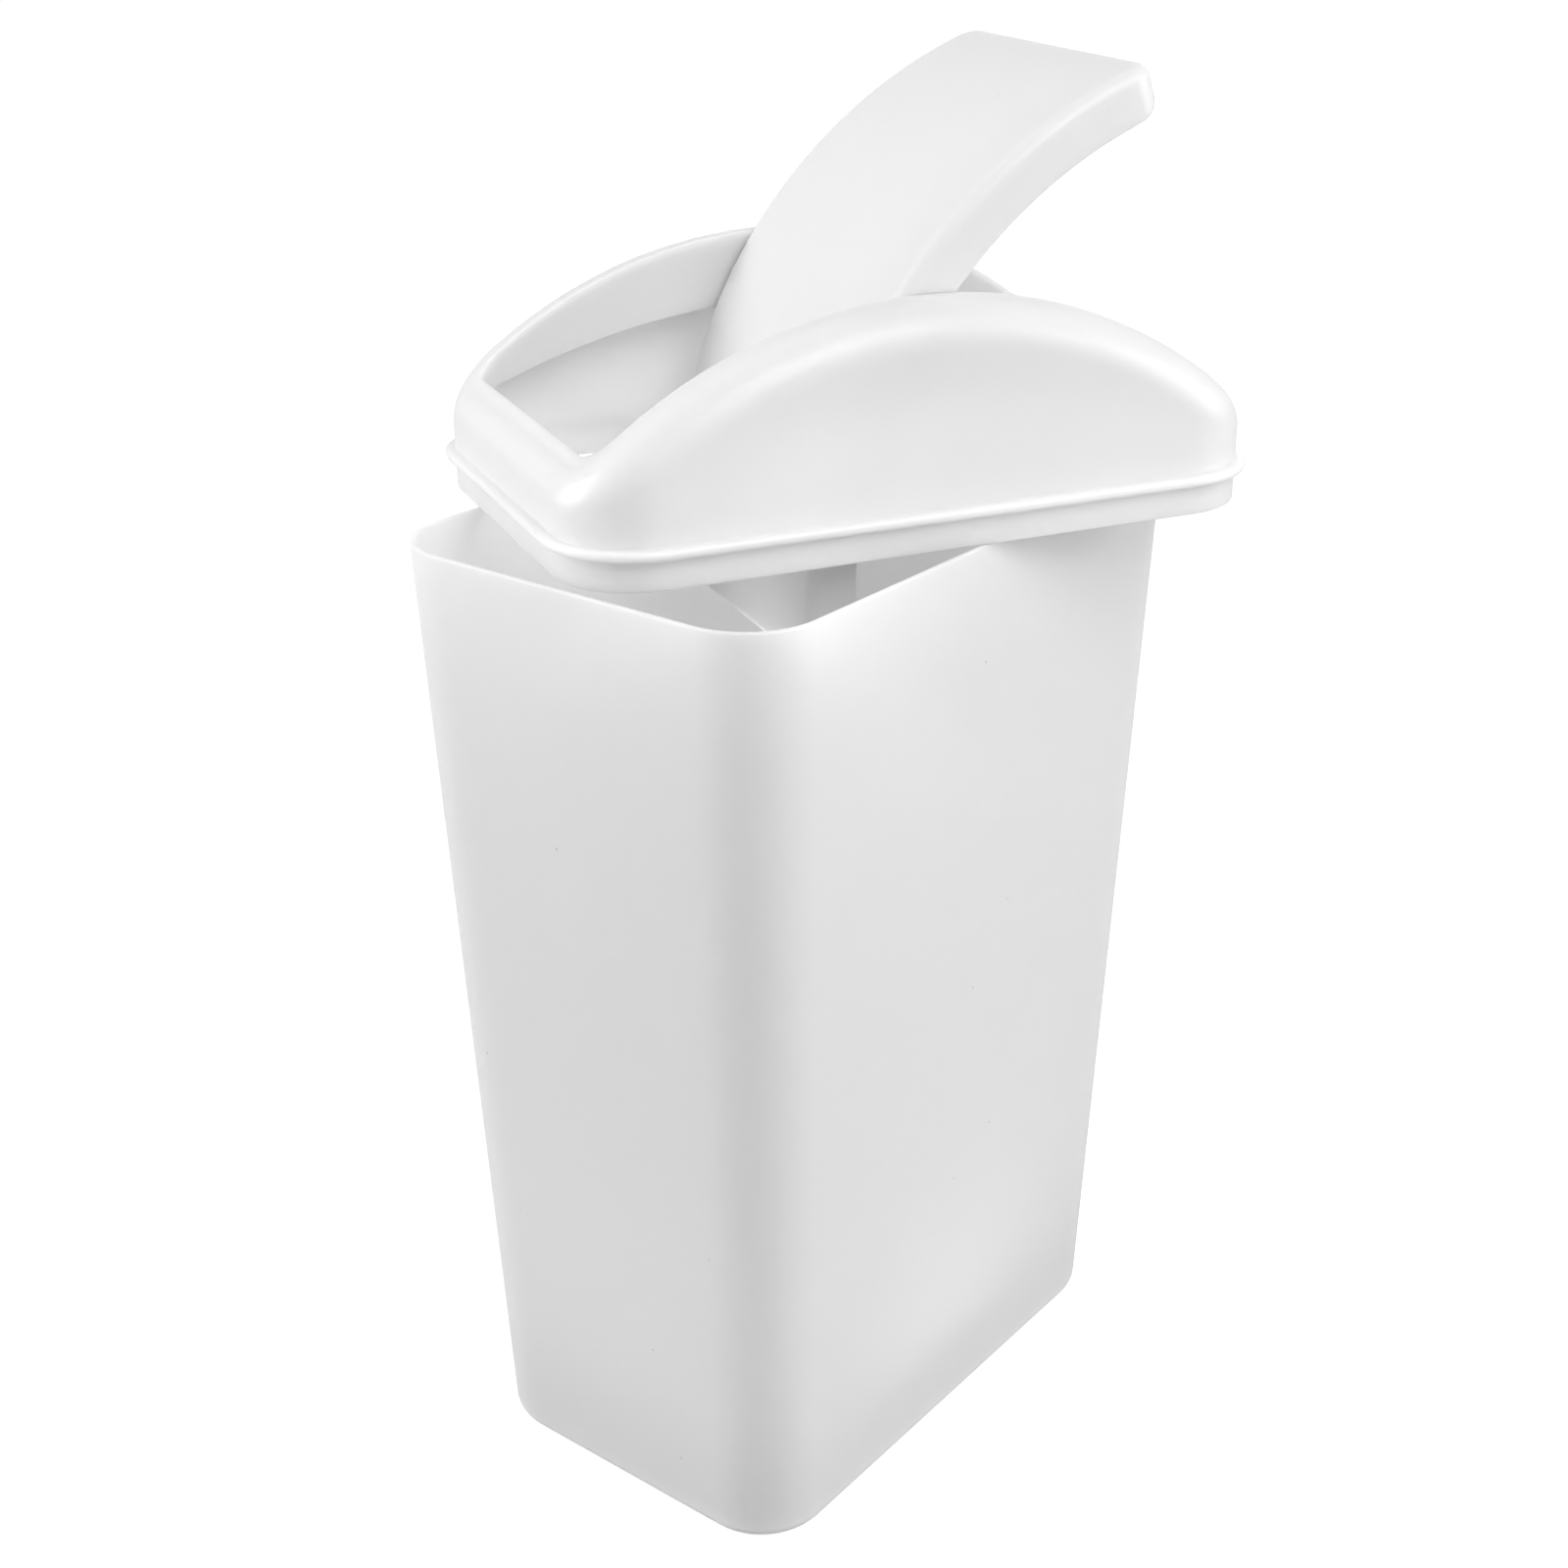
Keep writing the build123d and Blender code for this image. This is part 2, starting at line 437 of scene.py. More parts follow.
def rod(
    radius: float, start: Vector, end: Vector, chamfer: float = 0.0, sides: int = 48
) -> bmesh.types.BMesh:
    """A round bar along X.

    Args:
        radius: Its radius.
        start: The middle of one end.
        end: The middle of the other, which takes the chamfer.
        chamfer: How much is taken off the edge at end.
        sides: How many flats stand for the round.

    Returns:
        The bar's mesh.
    """
    made = bmesh.new()
    place = Matrix.Translation((start + end) / 2) @ Matrix.Rotation(math.pi / 2, 4, "Y")
    length = (end - start).length
    size = {"cap_ends": True, "segments": sides, "radius1": radius, "radius2": radius, "depth": length}
    bmesh.ops.create_cone(made, **size, matrix=place)
    if chamfer:
        tip = [edge for edge in made.edges if all(abs(vert.co.x - end.x) < NEAR for vert in edge.verts)]
        cut = {"affect": "EDGES", "segments": 2, "profile": 0.5, "material": -1, "offset": chamfer}
        bmesh.ops.bevel(made, geom=tip, **cut)
    return made


# ---------------------------------------------------------------------------------------------------
# The three mouldings
# ---------------------------------------------------------------------------------------------------
@dataclass(frozen=True)
class Bin:
    """The open, tapered bin."""

    height: float = 260.0 * MM
    rim_width: float = 118.0 * MM
    rim_length: float = 182.6 * MM
    base_width: float = 103.7 * MM
    base_length: float = 161.6 * MM
    corner: float = 19.5 * MM
    wall: float = 1.4 * MM
    floor: float = 3.4 * MM
    base_edge: float = 4.5 * MM
    foot_width: float = 7.5 * MM
    foot_height: float = 1.6 * MM
    rim_edge: float = 0.6 * MM
    foot_edge: float = 0.4 * MM
    foot_steps: int = 3
    base_steps: int = 8
    rim_steps: int = 4
    wall_rows: int = 8

    @property
    def side_taper(self) -> float:
        """How far each long wall leans out, per unit of height."""
        return (self.rim_width - self.base_width) / 2 / self.height

    @property
    def end_taper(self) -> float:
        """How far each end wall leans out, per unit of height."""
        return (self.rim_length - self.base_length) / 2 / self.height

    def ring(self, inset: float, height: float) -> Ring:
        """The wall's outline at a height.

        Args:
            inset: How far it is set in from the outside.
            height: How high it lies.

        Returns:
            A ring of points.
        """
        half_width = self.base_width / 2 + self.side_taper * height
        half_length = self.base_length / 2 + self.end_taper * height
        plan = Outline(half_width, half_length, self.corner).around(inset)
        return [point + Vector((0, 0, height)) for point, _ in plan]

    def rings(self, places: Section) -> list[Ring]:
        """Several rings, each from an inset and a height."""
        return [self.ring(inset, height) for inset, height in places]

    def outside(self) -> Section:
        """The section from the underside's recess, round the foot and up to the rim.

        Returns:
            Insets and heights.
        """
        foot, edge, round_ = self.foot_width, self.foot_edge, self.base_edge
        down, up = turn(90, 0, self.foot_steps), turn(0, 90, self.foot_steps)
        recess = [(foot - edge * (1 - c), self.foot_height - edge * (1 - s)) for c, s in down]
        inner = [(foot - edge * (1 - c), edge * (1 - s)) for c, s in up]
        outer = [(round_ * (1 - c), round_ * (1 - s)) for c, s in turn(90, 0, self.base_steps)]
        top = self.height - self.rim_edge
        walls = [(0.0, round_ + (top - round_) * share) for share in shares(self.wall_rows)]
        rim = [(self.rim_edge * (1 - c), top + self.rim_edge * s) for c, s in turn(0, 90, self.rim_steps)[1:]]
        return recess + inner + outer + walls + rim

    def inside(self) -> Section:
        """The section from the rim down the inner wall and on to the floor.

        Returns:
            Insets and heights.
        """
        top, wall, round_ = self.height - self.rim_edge, self.wall, self.base_edge - self.wall
        low = self.floor + round_
        over, under = turn(90, 0, self.rim_steps), turn(0, 90, self.base_steps)[1:]
        rim = [(wall - self.rim_edge * (1 - c), top + self.rim_edge * s) for c, s in over]
        walls = [(wall, top + (low - top) * share) for share in shares(self.wall_rows)]
        bottom = [(wall + round_ * (1 - c), low - round_ * s) for c, s in under]
        return rim + walls + bottom

    def build(self, outer: bpy.types.Material, inner: bpy.types.Material) -> bpy.types.Object:
        """Make the bin.

        Args:
            outer: The finish outside.
            inner: The finish inside.

        Returns:
            The finished moulding.
        """
        skin = Skin()
        places = self.outside()
        skin.begin(self.ring(*places[0]))
        skin.cap()
        skin.grow_all(self.rings(places[1:]))
        skin.slot = 1
        skin.grow_all(self.rings(self.inside()))
        skin.cap()
        skin.weld()
        return moulding("bin_moulding", skin.mesh, (outer, inner))


@dataclass(frozen=True)
class Lid:
    """The domed lid: plug skirt, bead, dome, opening, and the cheeks that carry the flap."""

    can: Bin
    wall: float = 1.5 * MM
    plug_depth: float = 7.6 * MM
    plug_clearance: float = 0.2 * MM
    overhang: float = 0.7 * MM
    bead_thickness: float = 2.4 * MM
    bead_edge: float = 1.0 * MM
    bead_cove: float = 0.6 * MM
    corner: float = 20.2 * MM
    shoulder: float = 10.0 * MM
    crest: float = 50.2 * MM
    eave: float = 13.1 * MM
    side_rail: float = 12.6 * MM
    end_rail: float = 7.8 * MM
    opening_corner: float = 7.0 * MM
    lip: float = 0.2 * MM
    edge: float = 0.45 * MM
    cheek_wall: float = 1.6 * MM
    cheek_depth: float = 18.7 * MM
    cheek_end_depth: float = 6.5 * MM
    boss_length: float = 3.0 * MM
    boss_wall: float = 2.4 * MM
    boss_chamfer: float = 0.5 * MM
    socket_past: float = 1.0 * MM
    pivot_drop: float = 11.3 * MM
    pin_radius: float = 2.5 * MM
    pin_clearance: float = 0.08 * MM
    edge_steps: int = 4
    bead_steps: int = 5
    shoulder_steps: int = 12
    inner_steps: int = 8
    wall_rows: int = 4
    cheek_rows: int = 5
    cheek_steps: int = 3

    @property
    def half_width(self) -> float:
        """Middle to the dome's outside, across the lid."""
        lean = self.can.side_taper * self.plug_depth
        return self.can.rim_width / 2 - self.can.wall - lean - self.plug_clearance

    @property
    def half_length(self) -> float:
        """Middle to the dome's outside, along the lid."""
        lean = self.can.end_taper * self.plug_depth
        return self.can.rim_length / 2 - self.can.wall - lean - self.plug_clearance

    @property
    def bead_reach(self) -> float:
        """How far the bead stands out from the dome's wall."""
        return self.can.rim_width / 2 + self.overhang - self.half_width

    @property
    def radius(self) -> float:
        """Radius of the arch."""
        rise = self.crest - self.eave
        return (self.half_length**2 + rise**2) / (2 * rise)

    @property
    def centre(self) -> float:
        """Height of the arch's axis, which lies below the lid."""
        return self.crest - self.radius

    @property
    def pivot(self) -> float:
        """Height of the flap's pivot."""
        return self.crest - self.pivot_drop

    @property
    def plan(self) -> Outline:
        """The dome's wall."""
        return Outline(self.half_width, self.half_length, self.corner)

    @property
    def opening(self) -> Outline:
        """The hole that the flap closes."""
        return Outline(self.half_width - self.side_rail, self.half_length - self.end_rail, self.opening_corner)

    def arch(self, y: float, depth: float = 0.0) -> float:
        """Height of the arch at y, a depth below its outer face."""
        return self.centre + math.sqrt((self.radius - depth) ** 2 - y**2)

    def up(self, point: Vector) -> Vector:
        """The arch's outward direction above a point."""
        return Vector((0, point.y, point.z - self.centre)).normalized()

    def level(self, inset: float, height: float) -> Ring:
        """A ring of the wall at one height."""
        return [point + Vector((0, 0, height)) for point, _ in self.plan.around(inset)]

    def ball(self, outline: Outline, inset: float, depth: float) -> list[tuple[Vector, Vector]]:
        """A ball that rolls along an outline, below the arch.

        Args:
            outline: The outline.
            inset: How far in from it the ball's centre runs.
            depth: How far below the arch it runs.

        Returns:
            The ball's centres, each with the outline's way out.
        """
        found = []
        for point, way in outline.around(inset):
            found.append((Vector((point.x, point.y, self.arch(point.y, depth))), way))
        return found

    def roll(self, balls: list[tuple[Vector, Vector]], radius: float, share: float, side: float) -> Ring:
        """Where a rolling ball touches, part of the way from a wall to the arch.

        Args:
            balls: The ball's centres and ways out.
            radius: The ball's radius.
            share: 0 at the wall, 1 at the arch.
            side: 1 for a wall outside the ball, -1 for one inside it.

        Returns:
            A ring of points.
        """
        return [centre + radius * (way * side).slerp(self.up(centre), share) for centre, way in balls]

    def rise(self, inset: float, low: float, share: float) -> Ring:
        """A ring part of the way up to where the shoulder starts.

        Args:
            inset: How far it is set in from the dome's outside.
            low: The height that it starts from.
            share: 0 at that height, 1 at the shoulder.

        Returns:
            A ring of points.
        """
        balls = self.ball(self.plan, self.shoulder, self.shoulder)
        found = []
        for (point, _), (centre, _) in zip(self.plan.around(inset), balls):
            found.append(Vector((point.x, point.y, low + (centre.z - low) * share)))
        return found

    def cheek_edge(self, y: float) -> float:
        """Height of the cheek's lower edge, which is an arc from end to end.

        Args:
            y: How far along the lid.

        Returns:
            The height.
        """
        crown = self.crest - self.cheek_depth
        half = self.opening.half_length
        sag = crown - (self.arch(half) - self.cheek_end_depth)
        radius = (half**2 + sag**2) / (2 * sag)
        return crown - radius + math.sqrt(radius**2 - y**2)

    def cheek(self, outset: float, share: float) -> Ring:
        """A ring of the cheek part of the way from its lower edge up to the arch.

        Args:
            outset: How far out from the opening's edge it lies.
            share: 0 at the lower edge, 1 at the arch.

        Returns:
            A ring of points.
        """
        found = []
        for point, _ in self.opening.around(-outset):
            low = self.cheek_edge(point.y) + self.edge
            high = self.arch(point.y, self.wall if outset else self.lip)
            found.append(Vector((point.x, point.y, low + (high - low) * share)))
        return found

    def cheek_round(self, outset: float, side: float, share: float) -> Ring:
        """A ring round the cheek's lower edge.

        Args:
            outset: How far out from the opening's edge the rounding's centre lies.
            side: 1 for the rounding's outer half, -1 for its inner half.
            share: 0 points to the side and 1 points down.

        Returns:
            A ring of points.
        """
        down = Vector((0, 0, -1))
        found = []
        for point, way in self.opening.around(-outset):
            centre = Vector((point.x, point.y, self.cheek_edge(point.y) + self.edge))
            found.append(centre + self.edge * (way * side).slerp(down, share))
        return found

    def outside(self) -> list[Ring]:
        """The outer face, from the skirt's lower edge up over the bead and dome to the opening.

        Returns:
            Rings of points.
        """
        low, edge, cove, nose = -self.plug_depth, self.edge, self.bead_cove, self.bead_edge
        out, thick = self.bead_reach, self.bead_thickness
        quarter, steps = turn(0, 90, self.edge_steps), shares(self.edge_steps)
        places = [(edge * (1 - c), low + edge * (1 - s)) for c, s in reversed(quarter)]
        places += [(-cove * (1 - c), -cove + cove * s) for c, s in quarter]
        places += [(nose - out - nose * c, nose + nose * s) for c, s in turn(-90, 0, self.bead_steps)]
        places += [(nose - out - nose * c, thick - nose + nose * s) for c, s in turn(0, 90, self.bead_steps)]
        places += [(-cove * (1 - s), thick + cove * (1 - c)) for c, s in quarter]
        rings = [self.level(inset, height) for inset, height in places]
        rings += [self.rise(0.0, thick + cove, share) for share in shares(self.wall_rows)]
        balls = self.ball(self.plan, self.shoulder, self.shoulder)
        rings += [self.roll(balls, self.shoulder, share, 1) for share in shares(self.shoulder_steps)]
        balls = self.ball(self.opening, -self.lip, self.lip)
        rings += [self.roll(balls, self.lip, 1 - share, -1) for share in [0.0, *steps]]
        return rings

    def inside(self) -> list[Ring]:
        """The inner face, from the opening down round the cheek, and under the dome to the skirt.

        Returns:
            Rings of points.
        """
        edge, back, low = self.edge, self.cheek_wall, -self.plug_depth
        bend, rows = shares(self.cheek_steps), shares(self.wall_rows)
        rings = [self.cheek(0.0, 1 - share) for share in shares(self.cheek_rows)]
        rings += [self.cheek_round(edge, -1, share) for share in bend]
        rings += [self.cheek_round(back - edge, 1, 1 - share) for share in [0.0, *bend]]
        rings += [self.cheek(back, share) for share in rows]
        balls = self.ball(self.plan, self.shoulder, self.shoulder)
        inner = self.shoulder - self.wall
        rings += [self.roll(balls, inner, 1 - share, 1) for share in [0.0, *shares(self.inner_steps)]]
        rings += [self.rise(self.wall, 0.0, 1 - share) for share in rows]
        quarter = turn(0, 90, self.edge_steps)
        rings += [self.level(self.wall - edge * (1 - c), low + edge * (1 - s)) for c, s in quarter]
        return rings

    def build(self, finish: bpy.types.Material) -> bpy.types.Object:
        """Make the lid in its own frame.

        Args:
            finish: Its finish.

        Returns:
            The finished moulding.
        """
        skin = Skin()
        outside = self.outside()
        skin.begin(outside[0])
        skin.grow_all([*outside[1:], *self.inside(), outside[0]])
        skin.weld()
        made = moulding("lid_moulding", skin.mesh, (finish,))
        face = self.opening.half_width
        socket = self.pin_radius + self.pin_clearance
        back = face + self.cheek_wall + self.boss_length
        for side in (-1, 1):
            start = Vector((side * (face + self.cheek_wall / 2), 0, self.pivot))
            end = Vector((side * back, 0, self.pivot))
            boss = rod(socket + self.boss_wall, start, end, self.boss_chamfer)
            combine(made, moulding("boss", boss, ()), Joining.ADD)
            start = Vector((side * (face - self.socket_past), 0, self.pivot))
            end = Vector((side * (back + self.socket_past), 0, self.pivot))
            combine(made, moulding("socket", rod(socket, start, end), ()), Joining.CUT)
        return made


@dataclass(frozen=True)
class Flap:
    """The swing flap: a curved tray with a turned-down skirt, ears, ribs and two stub pins.

    It is laid out flat, with its depth below the arch along -Z, and then bent to the arch.
    """

    lid: Lid
    wall: float = 1.5 * MM
    depth: float = 12.0 * MM
    corner: float = 6.6 * MM
    shoulder: float = 3.5 * MM
    side_gap: float = 0.1 * MM
    end_gap: float = 0.1 * MM
    edge: float = 0.45 * MM
    heel_radius: float = 10.0 * MM
    heel_past: float = 1.5 * MM
    ear_margin: float = 3.5 * MM
    pin_tip: float = 1.0 * MM
    pin_chamfer: float = 0.5 * MM
    rib_thickness: float = 1.2 * MM
    rib_spacing: float = 8.0 * MM
    rib_reach: float = 9.0 * MM
    ear_steps: int = 12
    side_steps: int = 20
    curl_steps: int = 7
    inner_steps: int = 5
    edge_steps: int = 3
    skirt_rows: int = 4

    @property
    def half_width(self) -> float:
        """Middle to the outside of the skirt."""
        return self.lid.opening.half_width - self.side_gap

    @property
    def half_length(self) -> float:
        """Middle to the end of the flap, along the arch."""
        straight = self.lid.opening.half_length - self.end_gap
        return self.lid.radius * math.asin(straight / self.lid.radius)

    @property
    def ear(self) -> float:
        """Radius of the ears round the pins."""
        return self.lid.pin_radius + self.ear_margin

    @property
    def plan(self) -> Outline:
        """The flap laid flat.

        Returns:
            Its outline, with points gathered where the ears are.
        """
        reach = self.half_length - self.corner
        ear = self.ear / reach
        side = [1 - (1 - ear) * (1 - share) for share in shares(self.side_steps)]
        middle = [ear * sine for _, sine in turn(-90, 90, self.ear_steps)]
        marks = (*(-place for place in reversed(side)), *middle, *side)
        return Outline(self.half_width, self.half_length, self.corner, marks)

    def heel_depth(self, y: float) -> float:
        """Depth of the skirt's edge where its lower corners are rounded.

        Args:
            y: How far along the arch.

        Returns:
            The depth below the arch.
        """
        middle = self.lid.radius - self.depth + self.heel_radius
        lead = math.asin(self.heel_radius / middle)
        swung = (abs(y) - self.half_length - self.heel_past) / self.lid.radius + lead
        if swung <= 0:
            return self.depth
        sag = math.sqrt(self.heel_radius**2 - (middle * math.sin(swung)) ** 2)
        return self.lid.radius - middle * math.cos(swung) + sag

    def skirt_depth(self, point: Vector) -> float:
        """Depth of the skirt's lower edge.

        Args:
            point: A point of the flat outline.

        Returns:
            The depth below the arch there.
        """
        if abs(point.y) >= self.ear:
            return self.heel_depth(point.y)
        drop = self.lid.pivot_drop + math.sqrt(self.ear**2 - point.y**2)
        return max(self.depth, drop)

    def sheet(self, shape: bmesh.types.BMesh, depth: float) -> list[bmesh.types.BMVert]:
        """Lay the tray's flat sheet inside the skirt's shoulder.

        Args:
            shape: The mesh to add to.
            depth: How deep it lies.

        Returns:
            The vertices of its rim, in the outline's order.
        """
        rim = [point for point, _ in self.plan.around(self.shoulder)]
        right = sorted((point.y, point.x) for point in rim if point.x > 0)
        columns = self.plan.end_steps
        reach = self.half_width - self.corner
        first, last = right[0][0], right[-1][0]
        between = [row for row in right if first + HAIR < row[0] < last - HAIR]
        rows = [(first, reach), *between, (last, reach)]
        size = {"x_segments": columns, "y_segments": len(rows) - 1, "size": 1.0}
        made = bmesh.ops.create_grid(shape, **size)["verts"]
        found = {}
        for vert in made:
            column = round((vert.co.x + 1) / 2 * columns)
            y, half = rows[round((vert.co.y + 1) / 2 * (len(rows) - 1))]
            vert.co = Vector((half * (2 * column / columns - 1), y, -depth))
            found[self.key(vert.co)] = vert
        return [found[self.key(point)] for point in rim]

    @staticmethod
    def key(point: Vector) -> tuple[int, int]:
        """A point's plan place in whole microns."""
        return round(point.x * MICRONS), round(point.y * MICRONS)

    def flat(self, inset: float, depth: float) -> Ring:
        """A ring of the flat outline at one depth."""
        return [point + Vector((0, 0, -depth)) for point, _ in self.plan.around(inset)]

    def skirt(self, inset: float, top: float, share: float, lift: float) -> Ring:
        """A ring part of the way down the skirt.

        Args:
            inset: How far it is set in from the skirt's outside.
            top: The depth that it starts from.
            share: 0 at that depth, 1 at the end.
            lift: How far above the skirt's lower edge the end is.

        Returns:
            A ring of points.
        """
        found = []
        for (point, _), (outer, _) in zip(self.plan.around(inset), self.plan.around()):
            low = self.skirt_depth(outer) - lift
            found.append(Vector((point.x, point.y, -(top + (low - top) * share))))
        return found

    def bend(self, point: Vector) -> Vector:
        """Bend the flat layout to the arch.

        Args:
            point: A point of the flat layout.

        Returns:
            Where it comes to lie.
        """
        radius = self.lid.radius + point.z
        angle = point.y / self.lid.radius
        return Vector((point.x, radius * math.sin(angle), self.lid.centre + radius * math.cos(angle)))

    def tray(self) -> bmesh.types.BMesh:
        """The tray with its skirt and ears, bent to the arch.

        Returns:
            Its closed mesh.
        """
        skin = Skin()
        curl, wall, edge = self.shoulder, self.wall, self.edge
        inner = curl - wall
        down, up = turn(90, 0, self.edge_steps), turn(0, 90, self.edge_steps)[1:]
        over, under = turn(90, 0, self.curl_steps)[1:], turn(0, 90, self.inner_steps)[1:]
        rows = shares(self.skirt_rows)
        skin.ring = self.sheet(skin.mesh, 0.0)
        skin.grow_all(self.flat(curl * (1 - c), curl * (1 - s)) for c, s in over)
        skin.grow_all(self.skirt(0.0, curl, share, edge) for share in rows)
        skin.grow_all(self.skirt(edge * (1 - c), curl, 1.0, edge * (1 - s)) for c, s in up)
        skin.grow_all(self.skirt(wall - edge * (1 - c), curl, 1.0, edge * (1 - s)) for c, s in down)
        skin.grow_all(self.skirt(wall, curl, 1 - share, edge) for share in rows)
        skin.grow_all(self.flat(curl - inner * c, curl - inner * s) for c, s in under)
        self.sheet(skin.mesh, wall)
        skin.weld()
        for vert in skin.mesh.verts:
            vert.co = self.bend(vert.co)
        return skin.mesh

    def rib(self, side: float, y: float) -> bmesh.types.BMesh:
        """A triangular web behind a pin, between the skirt and the underside of the tray.

        Args:
            side: 1 for the pin on the +X side, -1 for the other.
            y: How far along the lid the web's middle lies.

        Returns:
            The web's mesh.
        """
        made = bmesh.new()
        root = side * (self.half_width - self.wall / 2)
        foot, top = self.lid.pivot - self.lid.pin_radius, self.lid.crest - self.wall / 2
        near = y - self.rib_thickness / 2
        places = [(root, foot), (root, top), (root - side * self.rib_reach, top)]
        face = made.faces.new([made.verts.new((x, near, z)) for x, z in places])
        grown = bmesh.ops.extrude_face_region(made, geom=[face])["geom"]
        moved = [item for item in grown if isinstance(item, bmesh.types.BMVert)]
        bmesh.ops.translate(made, verts=moved, vec=(0, self.rib_thickness, 0))
        bmesh.ops.recalc_face_normals(made, faces=made.faces)
        return made

    def build(self, finish: bpy.types.Material) -> bpy.types.Object:
        """Make the flap in its closed place in the lid's frame.

        Args:
            finish: Its finish.

        Returns:
            The finished moulding.
        """
        made = moulding("flap_moulding", self.tray(), (finish,))
        lid = self.lid
        reach = lid.opening.half_width + lid.cheek_wall + lid.boss_length + self.pin_tip
        for side in (-1, 1):
            for y in (-self.rib_spacing / 2, self.rib_spacing / 2):
                combine(made, moulding("rib", self.rib(side, y), ()), Joining.ADD)
            start = Vector((side * (self.half_width - self.wall / 2), 0, lid.pivot))
            end = Vector((side * reach, 0, lid.pivot))
            pin = rod(lid.pin_radius, start, end, self.pin_chamfer)
            combine(made, moulding("pin", pin, ()), Joining.ADD)
        return made


# ---------------------------------------------------------------------------------------------------
# Studio
# ---------------------------------------------------------------------------------------------------
@dataclass(frozen=True)
class Softbox:
    """A square lamp that looks at a point and isn't seen by the camera."""

    name: str
    place: Point
    power: float
    size: float = 0.9
    aim: Point = (0.0, 0.0, 0.17)
    spread: float = 180.0

    def build(self) -> None:
        """Hang the lamp."""
        lamp = bpy.data.lights.new(self.name, "AREA")
        lamp.shape = "SQUARE"
        lamp.size = self.size
        lamp.energy = self.power
        lamp.spread = math.radians(self.spread)
        made = bpy.data.objects.new(self.name, lamp)
        made.location = self.place
        made.visible_camera = False
        made.rotation_euler = (Vector(self.aim) - Vector(self.place)).to_track_quat("-Z", "Y").to_euler()
        bpy.context.scene.collection.objects.link(made)


@dataclass(frozen=True)
class Camera:
    """Where the picture is taken from."""

    azimuth: float = 38.267
    elevation: float = 24.141
    roll: float = -0.307
    distance: float = 0.6136
    target: Point = (-0.00954, 0.00299, 0.17629)
    lens: float = 51.99
    sensor: float = 36.0

    def build(self) -> None:
        """Set the camera up and make it the scene's."""
        azimuth, elevation, roll = (math.radians(a) for a in (self.azimuth, self.elevation, self.roll))
        level = math.cos(elevation)
        back = Vector((math.sin(azimuth) * level, -math.cos(azimuth) * level, math.sin(elevation)))
        data = bpy.data.cameras.new("camera")
        data.lens, data.sensor_width = self.lens, self.sensor
        made = bpy.data.objects.new("camera", data)
        right = (-back).cross(Vector((0, 0, 1))).normalized()
        up = right.cross(-back)
        leaned = right * math.cos(roll) + up * math.sin(roll)
        tall = up * math.cos(roll) - right * math.sin(roll)
        place = Vector(self.target) + back * self.distance
        made.matrix_world = Matrix.Translation(place) @ Matrix((leaned, tall, back)).transposed().to_4x4()
        bpy.context.scene.collection.objects.link(made)
        bpy.context.scene.camera = made


@dataclass(frozen=True)
class Studio:
    """Pale floor, white surround and soft lamps, with two weak ones for the light that collects inside."""

    floor_size: float = 12.0
    floor_colour: float = 0.50
    floor_glow: float = 0.76
    fill: float = 0.50
    lamps: tuple[Softbox, ...] = (
        Softbox("left_lamp", (-1.15, -1.00, 0.60), power=15.7),
        Softbox("right_lamp", (1.34, 0.77, 0.58), power=9.0),
        Softbox("high_lamp", (1.05, -0.30, 1.36), power=11.5),
        Softbox("back_lamp", (-0.80, 1.30, 0.30), power=2.5),
        Softbox("glow_below", (0.0, 0.0, 0.02), power=0.022, size=0.06),
        Softbox(
            "glow_between", (0.005, -0.04, 0.175), power=0.011, size=0.03, aim=(0.0, -0.03, 0.24), spread=80.0
        ),
    )

    def surround(self) -> None:
        """White where the camera sees it, and a soft grey fill otherwise."""
        world = bpy.data.worlds.new("surround")
        world.use_nodes = True
        bpy.context.scene.world = world
        shader = Shader(world.node_tree)
        seen = shader.node("ShaderNodeLightPath", out="Is Camera Ray")
        strength = self.fill + seen * (1.0 - self.fill)
        back = shader.node("ShaderNodeBackground", {}, {"Color": grey(1.0), "Strength": strength})
        shader.node("ShaderNodeOutputWorld", {}, {"Surface": back})

    def floor(self) -> None:
        """A pale floor that keeps the can's shadow and runs out into the white surround."""
        shape = bmesh.new()
        bmesh.ops.create_grid(shape, x_segments=1, y_segments=1, size=self.floor_size / 2)
        material = bpy.data.materials.new("pale_floor")
        material.use_nodes = True
        shader = Shader(material.node_tree)
        matt = shader.node("ShaderNodeBsdfDiffuse", {}, {"Color": grey(self.floor_colour)})
        seen = shader.node("ShaderNodeLightPath", out="Is Camera Ray")
        glow = shader.node("ShaderNodeEmission", {}, {"Color": grey(1.0), "Strength": seen * self.floor_glow})
        both = shader.node("ShaderNodeAddShader", {}, {0: matt, 1: glow})
        shader.node("ShaderNodeOutputMaterial", {}, {"Surface": both})
        moulding("floor", shape, (material,))

    def build(self) -> None:
        """Set up the floor, surround and lamps."""
        bpy.context.scene.view_settings.view_transform = "Standard"
        self.surround()
        self.floor()
        for lamp in self.lamps:
            lamp.build()


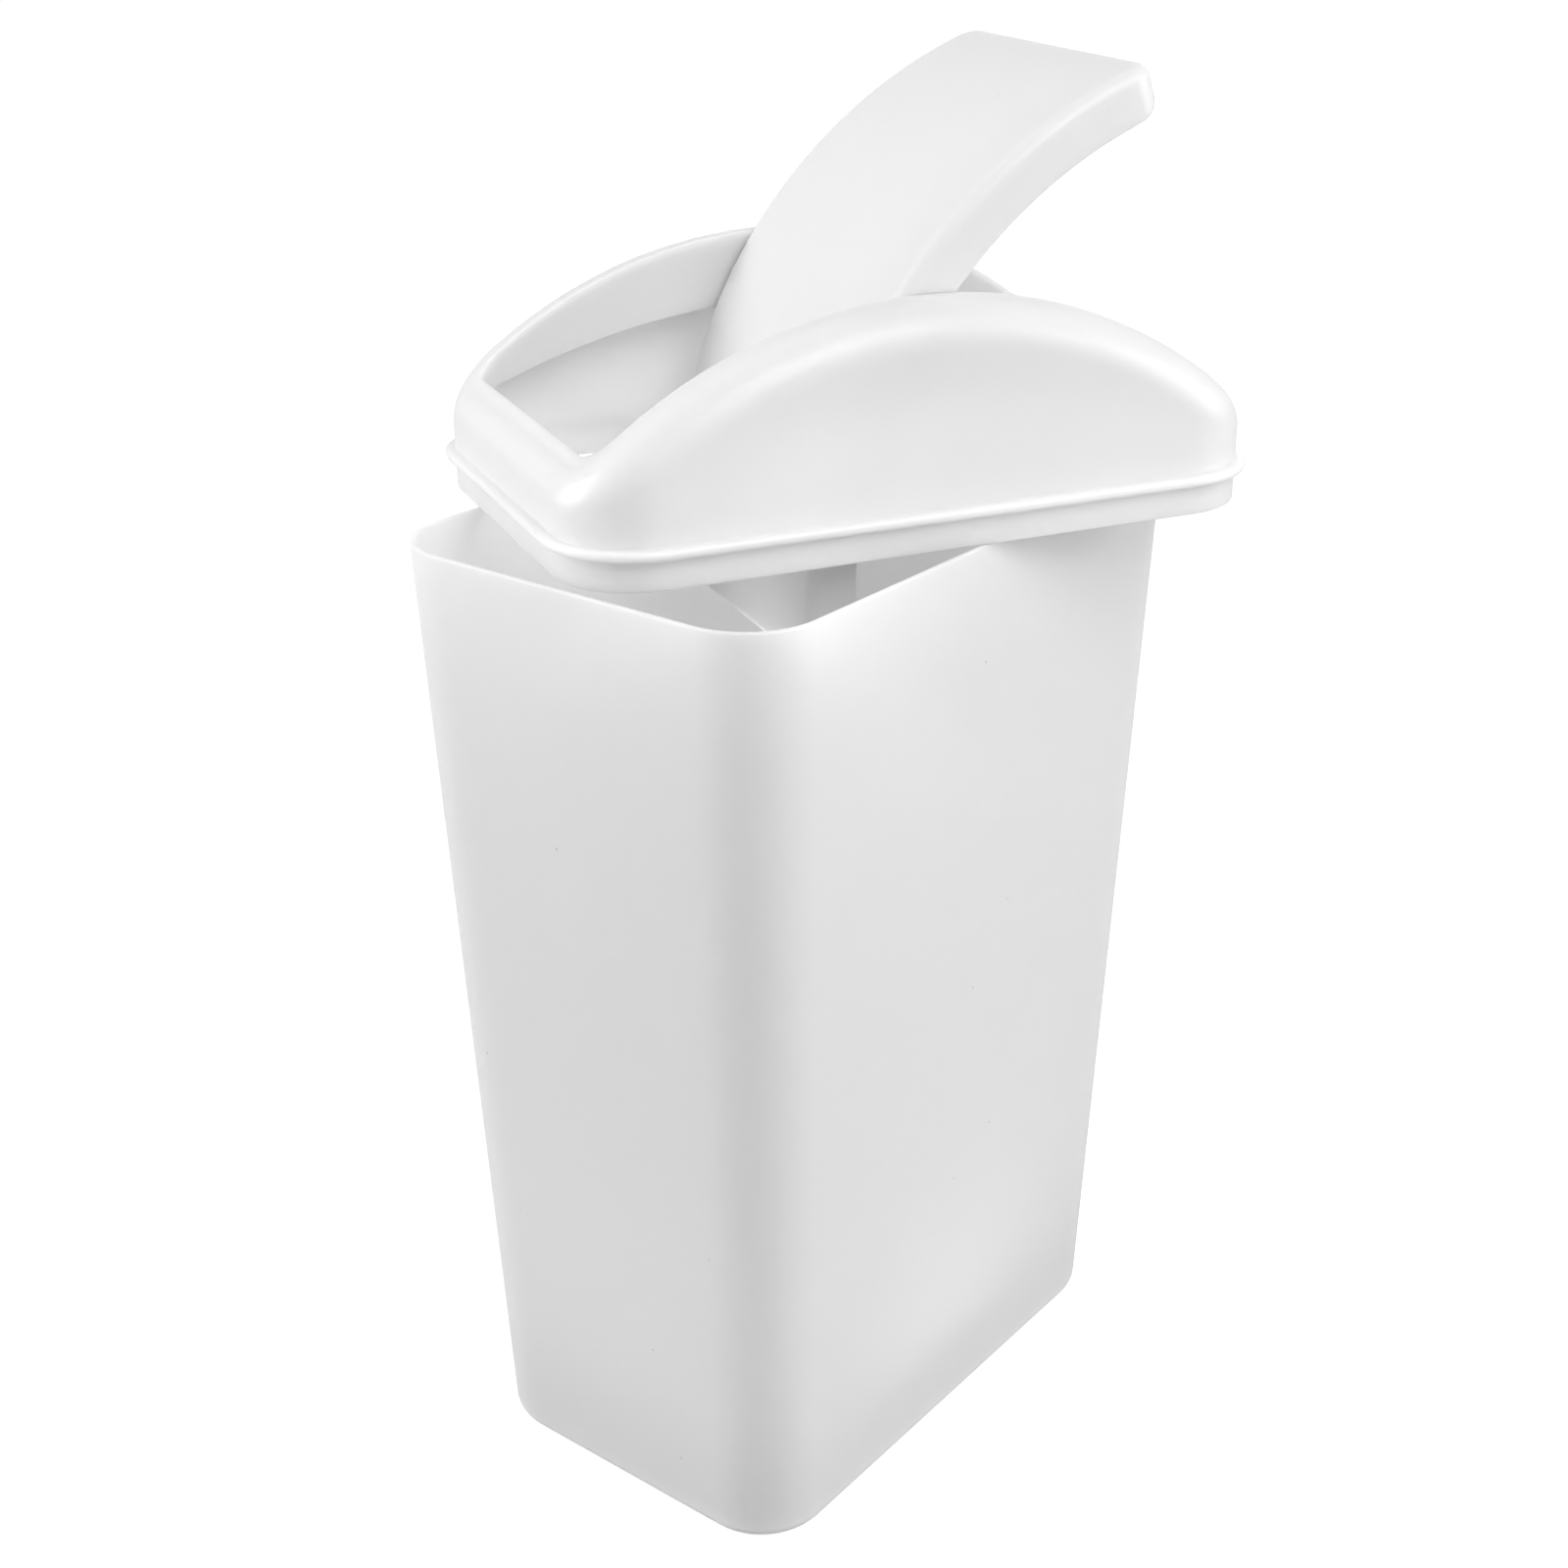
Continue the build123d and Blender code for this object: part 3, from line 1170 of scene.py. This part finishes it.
# ---------------------------------------------------------------------------------------------------
# Assembly
# ---------------------------------------------------------------------------------------------------
@dataclass(frozen=True)
class Can:
    """The three mouldings, put where the frame's flap joint says."""

    open_angle: float = 58.2
    joint: str = "flap_swing"
    # Painted light and shade: the bin, lid and flap are one white plastic, and their levels are set apart only
    # so each part's brightness under the lamps comes out right; the flap's lower level is painted shade on its
    # up-facing tray, and the lid's higher level is painted light.
    outer: Polypropylene = Polypropylene("bin_outside", 0.85, Grain.SPARKED, roughness=0.50, bleed=7.0 * MM)
    inner: Polypropylene = Polypropylene("bin_inside", 0.86, Grain.POLISHED, roughness=0.36, bleed=7.0 * MM)
    dome: Polypropylene = Polypropylene("lid_satin", 0.88, Grain.SPARKED, roughness=0.36)
    leaf: Polypropylene = Polypropylene("flap_satin", 0.80, Grain.SPARKED, roughness=0.38)

    def places(self, lid: Lid) -> tuple[Matrix, Matrix]:
        """Where the lid's frame and the swung flap are.

        Args:
            lid: The lid, for the height of its pivot.

        Returns:
            The lid's and the flap's places.
        """
        hinge = next(joint for joint in frame["joints"] if joint["name"] == self.joint)
        turned = math.atan2(hinge["axis"][1], hinge["axis"][0])
        seat = Vector(hinge["pos_m"]) - Vector((0, 0, lid.pivot))
        lid_place = Matrix.Translation(seat) @ Matrix.Rotation(turned, 4, "Z")
        pivot = Matrix.Translation((0, 0, lid.pivot))
        swing = pivot @ Matrix.Rotation(math.radians(self.open_angle), 4, "X") @ pivot.inverted()
        return lid_place, lid_place @ swing

    def settle(self, piece: bpy.types.Object, place: Matrix, node: str, body: str) -> None:
        """Put a moulding in place and let it stand for its CAD node.

        Args:
            piece: The moulding, in its own frame.
            place: Where that frame lies.
            node: The CAD node that it stands for.
            body: The body that it moves with.
        """
        piece.data.transform(place)
        smooth(piece)
        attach(piece, body)
        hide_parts(node)
        count = sum(len(face.vertices) - 2 for face in piece.data.polygons)
        log.info("%s stands for %s, %d triangles", piece.name, node, count)

    def build(self) -> None:
        """Make and place all three."""
        outer, inner, dome, leaf = (
            finish.material() for finish in (self.outer, self.inner, self.dome, self.leaf)
        )
        can = Bin()
        lid = Lid(can)
        flap = Flap(lid)
        lid_place, flap_place = self.places(lid)
        self.settle(can.build(outer, inner), Matrix.Identity(4), "bin_body", "bin")
        self.settle(lid.build(dome), lid_place, "lid_dome", "lid")
        self.settle(flap.build(leaf), flap_place, "swing_flap", "flap")


def main() -> None:
    """Build the can and its studio."""
    logging.basicConfig(level=logging.INFO, format="%(name)s: %(message)s")
    Camera().build()
    Studio().build()
    Can().build()
    bpy.context.view_layer.update()


if __name__ == "__main__":
    main()
